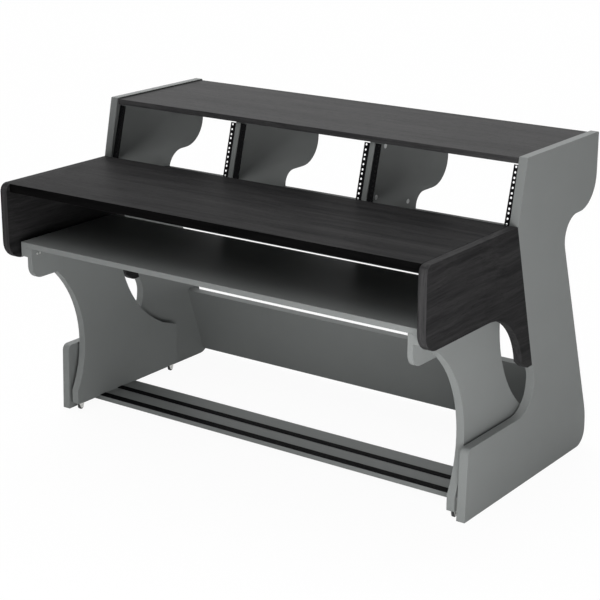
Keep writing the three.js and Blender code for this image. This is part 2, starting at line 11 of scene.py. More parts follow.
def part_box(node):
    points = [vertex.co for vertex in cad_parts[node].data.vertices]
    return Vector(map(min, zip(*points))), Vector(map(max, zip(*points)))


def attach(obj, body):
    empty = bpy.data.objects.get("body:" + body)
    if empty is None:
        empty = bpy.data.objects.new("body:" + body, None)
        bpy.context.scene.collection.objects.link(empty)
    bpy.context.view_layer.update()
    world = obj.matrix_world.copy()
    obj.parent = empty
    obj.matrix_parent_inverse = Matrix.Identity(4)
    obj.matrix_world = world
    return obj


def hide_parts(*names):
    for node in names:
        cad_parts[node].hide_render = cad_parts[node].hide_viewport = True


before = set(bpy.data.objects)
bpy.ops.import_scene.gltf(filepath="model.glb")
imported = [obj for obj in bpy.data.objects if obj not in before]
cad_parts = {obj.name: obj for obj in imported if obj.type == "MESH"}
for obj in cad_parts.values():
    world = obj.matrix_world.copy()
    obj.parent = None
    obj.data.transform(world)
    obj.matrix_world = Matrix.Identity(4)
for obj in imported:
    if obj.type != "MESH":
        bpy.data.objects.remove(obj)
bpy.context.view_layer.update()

bl_info = {
    "name": "Studio desk",
    "version": (1, 0, 0),
    "blender": (4, 5, 0),
    "location": "View3D > Sidebar > Desk",
    "description": "Boards, rack rails, screws and castors of a studio desk, and a plain stage",
    "category": "Object",
}

MM = 0.001

# The body that carries each board, and the finish of each wood-grain board
GREY_BOARDS = {
    "side_panel_left": "desk",
    "side_panel_right": "desk",
    "divider_left": "desk",
    "divider_right": "desk",
    "rear_beam": "desk",
    "modesty_panel": "desk",
    "keyboard_tray": "trolley",
    "trolley_leg_left": "trolley",
    "trolley_leg_right": "trolley",
    "tray_arm_left": "trolley",
    "tray_arm_right": "trolley",
    "footrest": "trolley",
}
WENGE_BOARDS = {
    "desktop": ("desk", "wenge_desktop"),
    "top_shelf": ("desk", "wenge_shelf"),
    "side_cheek_left": ("desk", "wenge_cheek"),
    "side_cheek_right": ("desk", "wenge_cheek"),
}

# Each wood-grain finish: the axis of the grain on its faces and on its end edges, its specular level, the
# tone of its front-facing faces as a factor of the other faces' tone, and whether its top-facing faces take
# that tone too. That tone is partly an edge band and partly painted light and shade.
WENGE_FINISHES = {
    "wenge_desktop": ("X", "X", 0.008, 0.15, False),
    "wenge_shelf": ("X", "X", 0.026, 2.2, False),
    "wenge_cheek": ("Y", "Z", 0.008, 1.7, True),
}
# How the grain is drawn out along each axis, how far it sways in metres, and the highest tone factor that
# the front- and top-facing faces can be painted with
DRAWN_OUT = {"X": (0.055, 1.0, 1.0), "Y": (1.0, 0.055, 1.0), "Z": (1.0, 1.0, 0.055)}
GRAIN_SWAY = 0.035
FACING_TONE_RANGE = 4.0

# Each moulded finish: the name of its colour, its specular level, its roughness, and the scale of its grain
MOULDED_FINISHES = {
    "wheel_plastic": ("wheel", 0.4, 0.45, 900.0),
    "cap_plastic": ("cap", 0.4, 0.45, 900.0),
    "strip_rubber": ("rubber", 0.03, 0.5, 1200.0),
}

# The rack standard, and the rails: RAIL_HOLES is how far below a rail's top each of its holes lies
RACK_UNITS = 4
HOLES_PER_UNIT = 3
UNIT_HEIGHT = 44.45 * MM
HOLE_END = 6.35 * MM
HOLE_STEP = 15.875 * MM
RAIL_HOLES = [
    unit * UNIT_HEIGHT + HOLE_END + hole * HOLE_STEP
    for unit in range(RACK_UNITS) for hole in range(HOLES_PER_UNIT)
]
RAIL_LENGTH = RACK_UNITS * UNIT_HEIGHT
RAIL_LEAN = math.radians(15.2)
RAIL_SHEET = 2 * MM
RAIL_FLANGE = 28 * MM
RAIL_INNER_BEND = 0.9 * MM
RAIL_HOLE_INSET = 13.8 * MM
RAIL_HOLE_SIDES = 24
RAIL_HOLE_RIM = 0.35 * MM

# Screws: the length of each kind, the sizes that all share, the share of the shank's width that is left at
# the point, and the slots of the cross, which narrow to a share of their width at their floor
SCREW_LENGTHS = {"rail_screw_": 10 * MM, "arm_screw_": 27 * MM, "castor_screw_": 13.6 * MM}
SCREW_HEAD = 7 * MM
SCREW_RISE = 1.8 * MM
SCREW_DOME = 0.72 * SCREW_RISE
SCREW_SHANK = 3.5 * MM
SCREW_TIP = 2 * MM
SCREW_POINT = 0.12
SLOT_HALF_WIDTH = 0.45 * MM
SLOT_FLOOR = 0.25 * MM
SLOT_TAPER = 0.45

# Castors: the bracket's edges, the wheel's tread, grooved sides, bore radius and rounded rim, and the axle
# with its rivet heads
BRACKET_EDGE = 0.35 * MM
BRACKET_EDGE_STEPS = 2
WHEEL_SIDES = 48
WHEEL_TREAD = 3.4 * MM
WHEEL_GROOVE = 2.6 * MM
WHEEL_GROOVE_DEPTH = 1.0 * MM
WHEEL_BORE = 2.12 * MM
WHEEL_RIM = 1.4 * MM
AXLE_RADIUS = 2 * MM
RIVET_RADIUS = 3.5 * MM
RIVET_RISE = 1 * MM
RIVET_DOME = 0.75 * RIVET_RISE

# The footrest's strips: how deep their grooves are, and how far their ribs are rounded
GROOVE_DEPTH = 0.9 * MM
RIB_EDGE = 0.28 * MM

# The [y, z] places of the caps on the right face of the right divider, how far they rise, the share of their
# radius that their rim takes, how deep they are dished, and how far the rim is rounded
CAP_PLACES = [(0.1000, 0.9741), (0.0528, 0.8237), (0.2350, 0.7739)]
CAP_RISE = 0.7 * MM
CAP_RIM = 0.25
CAP_DISH = 0.3 * CAP_RISE
CAP_EDGE = 0.25 * CAP_RISE

# Flats around a small round piece, and the angle in degrees below which the edges of bent steel look smooth
ROUND_SIDES = 32
STEEL_SMOOTH = 40

# Tests on a mesh: places closer than SAME are one, and a face points along an axis when its normal's part
# along it passes FACING. SHARP is the least angle that is rounded. The reaches say how near to a screw's
# hole, a rack hole's rim, a neighbouring board or the cheek's joint an edge belongs to it, and LEVEL what is
# at one height.
SAME = 0.001 * MM
FACING = 0.9
SHARP = math.radians(50)
HOLE_REACH = 2.4 * MM
RIM_REACH = 0.2 * MM
BOARD_REACH = 0.4 * MM
JOINT_REACH = 0.5 * MM
LEVEL = 0.1 * MM

# The stage: the floor, the sky's strength, each soft light's direction, angle in degrees and strength, the
# low light in front of the right side, and the camera with its turn in degrees
WHITE = (1, 1, 1, 1)
FLOOR_SIZE = 80
FLOOR_PAINT = (0.82, 0.82, 0.82, 1)
FLOOR_GLOW = 0.95
SKY_LIGHT = 0.03
SOFT_LIGHTS = {
    "back_light": ((-0.55, 0.5, 1), 60, 2.5),
    "front_light": ((-0.05, -0.75, 1.1), 60, 0.9),
    "top_light": ((0.05, -0.3, 1), 50, 0.7),
}
SOFT_LIGHT_DISTANCE = 5
LOW_LIGHT_PLACE = (1.8, -1.85, 0.4)
LOW_LIGHT_AIM = (0.6, -0.3, 0.2)
LOW_LIGHT_SIZE = (1.4, 0.8)
LOW_LIGHT_POWER = 36
CAMERA_PLACE = (2.95853, -4.07626, 2.05718)
CAMERA_TURN = (72.41343, -0.03822, 35.81947)
CAMERA_LENS = 100.16388
CAMERA_SENSOR = 36
CAMERA_REACH = 200


# ---------------------------------------------------------------- sizes and colours


class DeskBoardSizes(bpy.types.PropertyGroup):
    edge_radius: FloatProperty(
        name="Edge radius",
        description="How far the edges of the boards are rounded",
        default=1.6 * MM, min=0.2 * MM, max=4 * MM, unit="LENGTH", precision=4,
    )
    edge_steps: IntProperty(
        name="Edge steps", description="Flats across a rounded edge", default=3, min=1, max=6,
    )


class DeskHardwareSizes(bpy.types.PropertyGroup):
    rack_hole: FloatProperty(
        name="Rack hole", description="Diameter of the holes in the rack rails",
        default=7 * MM, min=4 * MM, max=9 * MM, unit="LENGTH", precision=4,
    )
    rail_bend: FloatProperty(
        name="Rail bend", description="Outer radius of the bend along a rack rail",
        default=2.6 * MM, min=0.5 * MM, max=4 * MM, unit="LENGTH", precision=4,
    )
    recess: FloatProperty(
        name="Screw recess", description="Length of each slot of the cross in a screw head",
        default=3.8 * MM, min=1 * MM, max=5 * MM, unit="LENGTH", precision=4,
    )
    rib: FloatProperty(
        name="Strip rib",
        description="Width of one rib of the footrest's strips, and of the groove beside it",
        default=1.0 * MM, min=0.5 * MM, max=3 * MM, unit="LENGTH", precision=4,
    )
    cap: FloatProperty(
        name="Cam cap", description="Diameter of the caps over the cam bolts",
        default=15 * MM, min=8 * MM, max=20 * MM, unit="LENGTH", precision=4,
    )


class DeskColours(bpy.types.PropertyGroup):
    grey_board: FloatVectorProperty(
        name="Grey board", description="Laminate of the sides, tray, legs and panels",
        default=(0.195, 0.204, 0.201), size=3, min=0, max=1, subtype="COLOR",
    )
    wenge_ground: FloatVectorProperty(
        name="Wood grain, ground", description="Lighter ground of the wood-grain boards",
        default=(0.029, 0.0285, 0.029), size=3, min=0, max=1, subtype="COLOR",
    )
    wenge_figure: FloatVectorProperty(
        name="Wood grain, figure", description="Darker figure of the wood-grain boards",
        default=(0.0110, 0.0110, 0.0115), size=3, min=0, max=1, subtype="COLOR",
    )
    rail_paint: FloatVectorProperty(
        name="Rail paint", description="Powder coat of the rack rails and their screws",
        default=(0.0030, 0.0030, 0.0034), size=3, min=0, max=1, subtype="COLOR",
    )
    zinc: FloatVectorProperty(
        name="Zinc", description="Plating of the castors and their screws",
        default=(0.62, 0.62, 0.60), size=3, min=0, max=1, subtype="COLOR",
    )
    wheel: FloatVectorProperty(
        name="Wheel", description="Plastic of the castor wheels",
        default=(0.018, 0.018, 0.019), size=3, min=0, max=1, subtype="COLOR",
    )
    rubber: FloatVectorProperty(
        name="Rubber", description="The footrest's strips",
        default=(0.0045, 0.0045, 0.005), size=3, min=0, max=1, subtype="COLOR",
    )
    cap: FloatVectorProperty(
        name="Cam cap", description="Plastic caps over the cam bolts",
        default=(0.62, 0.63, 0.63), size=3, min=0, max=1, subtype="COLOR",
    )


# ---------------------------------------------------------------- shader maths


class Number:
    """A number that varies over a surface. Arithmetic on it adds Math nodes to its finish."""

    def __init__(self, finish, socket):
        self.finish = finish
        self.socket = socket

    def maths(self, operation, *values):
        inputs = dict(enumerate(values))
        return self.finish.node("ShaderNodeMath", {"operation": operation}, inputs)

    def __add__(self, other):
        return self.maths("ADD", self, other)

    def __radd__(self, other):
        return self.maths("ADD", other, self)

    def __sub__(self, other):
        return self.maths("SUBTRACT", self, other)

    def __rsub__(self, other):
        return self.maths("SUBTRACT", other, self)

    def __mul__(self, other):
        return self.maths("MULTIPLY", self, other)

    def __rmul__(self, other):
        return self.maths("MULTIPLY", other, self)


class Shading:
    """The nodes of a material or a world, under construction."""

    def __init__(self, owner):
        owner.use_nodes = True
        self.tree = owner.node_tree

    def node(self, kind, settings=None, inputs=None, output=0):
        """A new node: its settings are set first, and then its sockets take their values or links."""
        made = self.tree.nodes.new(kind)
        for setting, value in (settings or {}).items():
            if setting == "stops":
                self.stops(made.color_ramp, value)
            else:
                setattr(made, setting, value)
        for socket, value in (inputs or {}).items():
            if isinstance(value, Number):
                self.tree.links.new(value.socket, made.inputs[socket])
            else:
                made.inputs[socket].default_value = value
        return Number(self, made.outputs[output])

    def stops(self, ramp, stops):
        while len(ramp.elements) < len(stops):
            ramp.elements.new(1)
        for element, (position, value) in zip(ramp.elements, stops):
            element.position = position
            element.color = (value, value, value, 1)

    def seen_or_mirrored(self):
        """1 for the camera's own rays and for those off a glossy surface, and 0 for all other light."""
        seen = self.node("ShaderNodeLightPath", output="Is Camera Ray")
        return seen + self.node("ShaderNodeLightPath", output="Is Glossy Ray")

    def blend(self, share, first, second, output):
        """Mix two shaders by a share and link the mix to the output node."""
        mix = self.node("ShaderNodeMixShader", {}, {0: share, 1: first, 2: second})
        self.tree.links.new(mix.socket, self.tree.nodes[output].inputs["Surface"])


class Finish(Shading):
    """A material under construction: a Principled shader and the nodes that vary it."""

    def __init__(self, name, **constants):
        self.material = bpy.data.materials.new(name)
        super().__init__(self.material)
        self.shader = self.tree.nodes["Principled BSDF"]
        for socket, value in constants.items():
            self.shader.inputs[socket.replace("_", " ")].default_value = value
        self.place = self.node("ShaderNodeTexCoord", output="Object")
        self.facing = self.node("ShaderNodeNewGeometry", output="Normal")

    def scaled(self, place, factors):
        """The place with each axis multiplied: a small factor draws a pattern out along that axis."""
        return self.node("ShaderNodeVectorMath", {"operation": "MULTIPLY"}, {0: place, 1: factors})

    def facing_along(self, axis):
        """How far the surface faces along the positive X, Y or Z, from -1 to 1."""
        return self.node("ShaderNodeSeparateXYZ", {}, {0: self.facing}, output="XYZ".index(axis))

    def noise(self, place, scale, detail, roughness, distortion=0.0):
        return self.node("ShaderNodeTexNoise", {}, {
            "Vector": place, "Scale": scale, "Detail": detail,
            "Roughness": roughness, "Distortion": distortion,
        })

    def ramp(self, value, *stops):
        return self.node("ShaderNodeValToRGB", {"stops": stops}, {"Fac": value})

    # A Mix node's sockets 4 and 5 take vectors, and 6 and 7 take colours
    def mixed(self, share, first, second):
        """A colour between two others."""
        colours = [c if isinstance(c, Number) else (*c, 1) for c in (first, second)]
        settings = {"data_type": "RGBA", "clamp_factor": True}
        return self.node("ShaderNodeMix", settings, {0: share, 6: colours[0], 7: colours[1]}, output=2)

    def between(self, share, first, second):
        """A vector between two others."""
        return self.node("ShaderNodeMix", {"data_type": "VECTOR"}, {0: share, 4: first, 5: second}, output=1)

    def feed(self, **values):
        for socket, value in values.items():
            self.tree.links.new(value.socket, self.shader.inputs[socket.replace("_", " ")])

    def bumped(self, height, strength, distance):
        inputs = {"Height": height, "Strength": strength, "Distance": distance}
        self.feed(Normal=self.node("ShaderNodeBump", {}, inputs))


def colour_of(name):
    return tuple(getattr(bpy.context.scene.desk_colours, name))


def times(colour, factor):
    return tuple(min(1.0, part * factor) for part in colour)


def made_once(name, make):
    """The material of this name, which is made when the first piece asks for it."""
    return bpy.data.materials.get(name) or make(name)


def grey_laminate(name):
    """Grey laminate: an even colour with a fine pearl, under a low sheen."""
    finish = Finish(name, Specular_IOR_Level=0.06)
    colour = colour_of("grey_board")
    pearl = finish.noise(finish.place, scale=900.0, detail=2.0, roughness=0.6)
    cloud = finish.noise(finish.place, scale=7.0, detail=4.0, roughness=0.55)
    finish.feed(
        Base_Color=finish.mixed(pearl * 0.6 + cloud * 0.4, times(colour, 0.90), times(colour, 1.10)),
        Roughness=0.42 + 0.16 * pearl,
    )
    finish.bumped(pearl, strength=0.12, distance=0.15 * MM)
    return finish.material


def wenge_grain(name):
    """Dark wood-grain laminate. Its figure and pores are drawn out along the board, and along its end edges.

    Faces that point to the front, and those that point up where the finish says so, are painted lighter or
    darker than the rest: partly an edge band, partly painted light and shade."""
    along, edge_along, specular, front_facing_tone, top_faces_too = WENGE_FINISHES[name]
    finish = Finish(name, Specular_IOR_Level=specular)
    wander = finish.noise(finish.place, scale=3.2, detail=2.0, roughness=0.5)
    drawn = finish.scaled(finish.place, DRAWN_OUT[along])
    if edge_along != along:
        face = finish.facing_along(along)
        on_end = finish.ramp(face.maths("ABSOLUTE", face), (0.60, 0.0), (0.75, 1.0))
        drawn = finish.between(on_end, drawn, finish.scaled(finish.place, DRAWN_OUT[edge_along]))
    swayed = finish.node(
        "ShaderNodeVectorMath", {"operation": "MULTIPLY_ADD"}, {0: wander, 1: (GRAIN_SWAY,) * 3, 2: drawn}
    )
    broad = finish.noise(swayed, scale=21.0, detail=4.0, roughness=0.6, distortion=0.3)
    fine = finish.noise(swayed, scale=110.0, detail=3.0, roughness=0.6)
    pores = finish.noise(swayed, scale=620.0, detail=2.0, roughness=0.6)
    figure = finish.ramp(broad * 0.60 + fine * 0.40, (0.38, 0.0), (0.64, 1.0))
    pore = finish.ramp(pores, (0.56, 0.0), (0.70, 1.0))
    ground, dark = colour_of("wenge_ground"), colour_of("wenge_figure")
    grain = finish.mixed(pore * 0.45, finish.mixed(figure, dark, ground), times(dark, 0.55))
    # Faces pointing to the front, and up where the finish says so, take a tone of their own: partly an edge
    # band, partly painted light and shade
    facing_front_or_up = 0 - finish.facing_along("Y")
    if top_faces_too:
        facing_front_or_up = facing_front_or_up.maths("MAXIMUM", facing_front_or_up, finish.facing_along("Z"))
    tone = FACING_TONE_RANGE * finish.ramp(facing_front_or_up, (0.55, 1 / FACING_TONE_RANGE), (0.85, front_facing_tone / FACING_TONE_RANGE))
    finish.feed(
        Base_Color=finish.node("ShaderNodeVectorMath", {"operation": "SCALE"}, {0: grain, 3: tone}),
        Roughness=0.40 + 0.12 * pore + 0.08 * fine,
    )
    finish.bumped(fine * 0.3 - pore * 0.7, strength=0.25, distance=0.12 * MM)
    return finish.material


def powder_coat(name):
    """Black powder coat: a fine orange peel and a soft gloss."""
    finish = Finish(name, Specular_IOR_Level=0.03)
    colour = colour_of("rail_paint")
    peel = finish.noise(finish.place, scale=1400.0, detail=2.0, roughness=0.55)
    dust = finish.noise(finish.place, scale=90.0, detail=4.0, roughness=0.6)
    finish.feed(
        Base_Color=finish.mixed(dust * 0.7 + peel * 0.3, colour, times(colour, 1.9)),
        Roughness=0.36 + 0.18 * dust,
    )
    finish.bumped(peel, strength=0.3, distance=0.08 * MM)
    return finish.material


def zinc_plate(name):
    """Zinc plating: bright metal with a cloudy grain and finer scratches."""
    finish = Finish(name, Metallic=0.9)
    colour = colour_of("zinc")
    cloud = finish.noise(finish.place, scale=240.0, detail=4.0, roughness=0.6)
    upright = finish.scaled(finish.place, (1.0, 1.0, 0.05))
    drawn = finish.noise(upright, scale=2600.0, detail=2.0, roughness=0.5)
    finish.feed(
        Base_Color=finish.mixed(cloud, times(colour, 0.72), colour),
        Roughness=0.24 + 0.20 * cloud + 0.08 * drawn,
    )
    finish.bumped(drawn, strength=0.12, distance=0.03 * MM)
    return finish.material


def moulded(name):
    """Moulded plastic or rubber: one colour with a fine moulding grain."""
    colour_name, specular, roughness, grain = MOULDED_FINISHES[name]
    finish = Finish(name, Specular_IOR_Level=specular)
    colour = colour_of(colour_name)
    fine = finish.noise(finish.place, scale=grain, detail=3.0, roughness=0.6)
    cloud = finish.noise(finish.place, scale=45.0, detail=3.0, roughness=0.5)
    finish.feed(
        Base_Color=finish.mixed(0.5 * fine + 0.5 * cloud, times(colour, 0.78), times(colour, 1.25)),
        Roughness=roughness - 0.07 + 0.14 * cloud,
    )
    finish.bumped(fine, strength=0.2, distance=0.05 * MM)
    return finish.material


# ---------------------------------------------------------------- modelling


def node_names(start):
    """The names of the CAD nodes that start so, in order."""
    return sorted(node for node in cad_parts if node.startswith(start))


def centre_of(node):
    low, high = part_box(node)
    return (low + high) / 2


def deselect():
    bpy.ops.object.select_all(action="DESELECT")


def work_on(piece):
    """Make the piece the only one that operators act on."""
    deselect()
    piece.select_set(True)
    bpy.context.view_layer.objects.active = piece


def choose(piece, kind, wanted):
    """In edit mode, select just the vertices, edges or faces that the test wants; the count is returned."""
    bpy.ops.mesh.select_mode(type={"verts": "VERT", "edges": "EDGE", "faces": "FACE"}[kind])
    bpy.ops.mesh.select_all(action="DESELECT")
    shape = bmesh.from_edit_mesh(piece.data)
    shape.normal_update()
    count = 0
    for part in getattr(shape, kind):
        if wanted(part):
            part.select_set(True)
            count += 1
    bmesh.update_edit_mesh(piece.data)
    return count


def choose_edges(piece, wanted):
    """In edit mode, select just the edges whose ends are both where the test wants them, and count them."""
    return choose(piece, "edges", lambda edge: all(wanted(vert.co) for vert in edge.verts))


def copy_of(node):
    """A new object with the node's shape, its loose triangles merged into whole faces."""
    piece = bpy.data.objects.new(f"{node}_board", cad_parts[node].data.copy())
    bpy.context.scene.collection.objects.link(piece)
    piece.data.materials.clear()
    work_on(piece)
    bpy.ops.object.mode_set(mode="EDIT")
    bpy.ops.mesh.select_all(action="SELECT")
    bpy.ops.mesh.remove_doubles(threshold=0.002 * MM)
    bpy.ops.mesh.dissolve_limited(angle_limit=math.radians(0.5))
    bpy.ops.object.mode_set(mode="OBJECT")
    return piece


def eased(piece, free, radius, steps):
    """Round those sharp edges of a piece that the test finds free."""
    bpy.ops.object.mode_set(mode="EDIT")
    count = choose(
        piece, "edges",
        lambda edge: len(edge.link_faces) == 2 and edge.calc_face_angle() > SHARP and free(edge),
    )
    if not count:
        raise RuntimeError(f"{piece.name} has no free edge to round")
    bpy.ops.mesh.bevel(
        offset=radius, offset_type="OFFSET", segments=steps, profile=0.5,
        affect="EDGES", clamp_overlap=True, miter_outer="SHARP",
    )
    bpy.ops.object.mode_set(mode="OBJECT")


def finished(piece, body, slot, material, *nodes, smooth=32):
    """Give a piece its finish, and seat it on the frame in place of the nodes."""
    work_on(piece)
    bpy.ops.object.shade_smooth_by_angle(angle=math.radians(smooth))
    flats = piece.modifiers.new("flats", "WEIGHTED_NORMAL")
    flats.keep_sharp = True
    bpy.ops.object.modifier_apply(modifier=flats.name)
    piece.data.materials.clear()
    piece.data.materials.append(material)
    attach(piece, body)
    if nodes:
        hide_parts(*nodes)
    deselect()


def board(node, body, slot, material):
    """A board with its free edges eased, in place of its node."""
    sizes = bpy.context.scene.desk_board_sizes
    piece = copy_of(node)
    eased(piece, free_edges(node), sizes.edge_radius, sizes.edge_steps)
    finished(piece, body, slot, material, node)


def middle(edge):
    return (edge.verts[0].co + edge.verts[1].co) / 2


def along_x(edge):
    return abs(edge.verts[0].co.x - edge.verts[1].co.x) > MM


def fastener_axes():
    """The [y, z] places of the screws and axles, which all lie along X."""
    boxes = [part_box(node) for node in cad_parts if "screw" in node or "axle" in node]
    return [((low.y + high.y) / 2, (low.z + high.z) / 2) for low, high in boxes]


AXES = fastener_axes()


def in_hole(edge):
    """Whether an edge belongs to the hole of a screw or an axle."""
    return any(
        all(math.hypot(vert.co.y - y, vert.co.z - z) < HOLE_REACH for vert in edge.verts) for y, z in AXES
    )


def free_edges(node):
    """The test for the edges of a board that no neighbour covers."""
    low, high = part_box(node)
    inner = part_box("desktop")[1].x

    def off(value, *walls):
        return all(abs(value - wall) > BOARD_REACH for wall in walls)

    if node.startswith(("side_panel", "side_cheek")):
        foot, end = joint_line()
        way = (end - foot).normalized()

        def off_joint(edge):
            spot = Vector((0, middle(edge).y, middle(edge).z)) - foot
            return abs(spot.y * way.z - spot.z * way.y) > JOINT_REACH or along_x(edge)
        return lambda edge: off_joint(edge) and not in_hole(edge)
    if node in ("desktop", "top_shelf", "rear_beam", "modesty_panel"):
        return lambda edge: off(middle(edge).x, -inner, inner)
    if node == "keyboard_tray":
        return lambda edge: off(middle(edge).x, low.x, high.x)
    if node.startswith("tray_arm"):
        outer = max(abs(low.x), abs(high.x))
        return lambda edge: (
            off(abs(middle(edge).x), outer) and off(middle(edge).z, high.z) and not in_hole(edge)
        )
    return lambda edge: not in_hole(edge)


def joint_line():
    """The two ends of the joint between a cheek and its side panel, seen from the side."""
    cheek = [v.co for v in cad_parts["side_cheek_right"].data.vertices]
    top = max(co.z for co in cheek)
    foot = max((co for co in cheek if top - co.z < LEVEL), key=lambda co: co.y)
    end = max(cheek, key=lambda co: co.y)
    return Vector((0, foot.y, foot.z)), Vector((0, end.y, end.z))


def pushed(way):
    """In edit mode, extrude what is selected along a way."""
    bpy.ops.mesh.extrude_region_move(TRANSFORM_OT_translate={"value": way})


def box_at(name, low, high):
    """A new box between two corners."""
    low, high = Vector(low), Vector(high)
    bpy.ops.mesh.primitive_cube_add(size=1, location=(low + high) / 2, scale=high - low)
    piece = bpy.context.active_object
    piece.name = name
    bpy.ops.object.transform_apply(location=True, rotation=True, scale=True)
    return piece


def rod_at(name, radius, length, spot, towards, sides):
    """A new round rod with its middle at a spot."""
    turn = Vector(towards).to_track_quat("Z", "Y").to_euler()
    bpy.ops.mesh.primitive_cylinder_add(
        vertices=sides, radius=radius, depth=length, location=spot, rotation=turn
    )
    piece = bpy.context.active_object
    piece.name = name
    bpy.ops.object.transform_apply(location=True, rotation=True, scale=True)
    return piece


def joined(pieces):
    deselect()
    for piece in pieces:
        piece.select_set(True)
    bpy.context.view_layer.objects.active = pieces[0]
    bpy.ops.object.join()
    return pieces[0]


def cut(piece, cutter):
    """Take the cutter out of the piece, and remove it."""
    work_on(piece)
    tool = piece.modifiers.new("cut", "BOOLEAN")
    tool.operation = "DIFFERENCE"
    tool.solver = "EXACT"
    tool.use_self = True
    tool.object = cutter
    bpy.ops.object.modifier_apply(modifier=tool.name)
    bpy.data.objects.remove(cutter, do_unlink=True)


def placed_copy(piece, name, matrix):
    """A copy with its own mesh, its place in the mesh. A mirrored one has its faces turned out again."""
    copy = bpy.data.objects.new(name, piece.data.copy())
    bpy.context.scene.collection.objects.link(copy)
    copy.data.transform(matrix)
    if matrix.determinant() < 0:
        copy.data.flip_normals()
    return copy


def rail_pattern():
    """One rack rail with its bend at x = 0, upright, its top front edge at the origin."""
    sizes = bpy.context.scene.desk_hardware_sizes
    low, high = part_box("rack_rail_bay_1_left")
    rail = box_at("rail_pattern", (0, 0, -RAIL_LENGTH), (high.x - low.x, RAIL_SHEET, 0))
    bpy.ops.object.mode_set(mode="EDIT")
    bpy.ops.mesh.select_all(action="SELECT")
    bpy.ops.mesh.bisect(plane_co=(RAIL_SHEET, 0, 0), plane_no=(1, 0, 0))
    choose(rail, "faces", lambda face: face.normal.y > FACING and face.calc_center_median().x < RAIL_SHEET)
    pushed((0, RAIL_FLANGE - RAIL_SHEET, 0))
    for corner, radius, steps in ((0, sizes.rail_bend, 5), (RAIL_SHEET, RAIL_INNER_BEND, 3)):
        choose_edges(rail, lambda co: abs(co.x - corner) + abs(co.y - corner) < SAME)
        bpy.ops.mesh.bevel(offset=radius, segments=steps, affect="EDGES")
    bpy.ops.object.mode_set(mode="OBJECT")
    cutters = []
    for down in RAIL_HOLES:
        spot = (RAIL_HOLE_INSET, RAIL_SHEET / 2, -down)
        cutters.append(rod_at("hole", sizes.rack_hole / 2, 3 * RAIL_SHEET, spot, (0, 1, 0), RAIL_HOLE_SIDES))
    cut(rail, joined(cutters))
    bpy.ops.object.mode_set(mode="EDIT")
    reach = sizes.rack_hole / 2 + RIM_REACH

    def on_rim(edge):
        """Whether both ends are at the front rim of the same hole, which a bridge between two holes isn't."""
        ends = [vert.co for vert in edge.verts]
        return all(abs(co.y) < SAME for co in ends) and any(
            all(math.hypot(co.x - RAIL_HOLE_INSET, co.z + down) < reach for co in ends) for down in RAIL_HOLES
        )

    rims = choose(rail, "edges", on_rim)
    if rims != RAIL_HOLE_SIDES * len(RAIL_HOLES):
        raise RuntimeError(f"the rack rail has {rims} edges around its holes")
    bpy.ops.mesh.bevel(offset=RAIL_HOLE_RIM, segments=2, affect="EDGES")
    bpy.ops.object.mode_set(mode="OBJECT")
    return rail


def screw_pattern(length):
    """A pan head screw along Z, its head's seat at z = 0, with a cross recess."""
    sizes = bpy.context.scene.desk_hardware_sizes
    half_way = (0, 0, SCREW_RISE / 2)
    screw = rod_at("screw_pattern", SCREW_HEAD / 2, SCREW_RISE, half_way, (0, 0, 1), ROUND_SIDES)
    bpy.ops.object.mode_set(mode="EDIT")
    choose_edges(screw, lambda co: co.z > SCREW_RISE - SAME)
    bpy.ops.mesh.bevel(offset=SCREW_DOME, segments=5, affect="EDGES")
    choose(screw, "faces", lambda face: face.normal.z < -FACING)
    bpy.ops.mesh.inset(thickness=(SCREW_HEAD - SCREW_SHANK) / 2)
    pushed((0, 0, SCREW_TIP - length))
    pushed((0, 0, -SCREW_TIP))
    bpy.ops.transform.resize(value=(SCREW_POINT, SCREW_POINT, 1), center_override=(0, 0, -length))
    bpy.ops.object.mode_set(mode="OBJECT")
    reach, thin = sizes.recess / 2, SLOT_HALF_WIDTH
    cross = joined([
        box_at("slot", (-reach, -thin, SLOT_FLOOR), (reach, thin, 2 * SCREW_RISE)),
        box_at("slot", (-thin, -reach, SLOT_FLOOR), (thin, reach, 2 * SCREW_RISE)),
    ])
    bpy.ops.object.mode_set(mode="EDIT")
    choose(cross, "faces", lambda face: face.normal.z < -FACING)
    bpy.ops.transform.resize(value=(SLOT_TAPER, SLOT_TAPER, 1), center_override=(0, 0, SLOT_FLOOR))
    bpy.ops.object.mode_set(mode="OBJECT")
    cut(screw, cross)
    return screw


def screws(kind, heading, body, slot, material):
    """Copies of one screw at every CAD screw of a kind. The left ones' heads point along X by heading."""
    nodes = node_names(kind)
    if not nodes:
        raise RuntimeError(f"the packed model has no nodes named {kind}")
    pattern = screw_pattern(SCREW_LENGTHS[kind])
    for node in nodes:
        low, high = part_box(node)
        way = heading if "_left" in node else -heading
        tip = high.x if way > 0 else low.x
        spot = Vector((tip - way * SCREW_RISE, (low.y + high.y) / 2, (low.z + high.z) / 2))
        turn = Vector((way, 0, 0)).to_track_quat("Z", "Y").to_matrix().to_4x4()
        # Each screw was driven to a turn of its own
        roll = Matrix.Rotation(0.7 * len(node) + 9 * spot.z + 5 * spot.y, 4, "Z")
        piece = placed_copy(pattern, f"{node}_head", Matrix.Translation(spot) @ turn @ roll)
        finished(piece, body, slot, material, node, smooth=STEEL_SMOOTH)
    bpy.data.objects.remove(pattern, do_unlink=True)


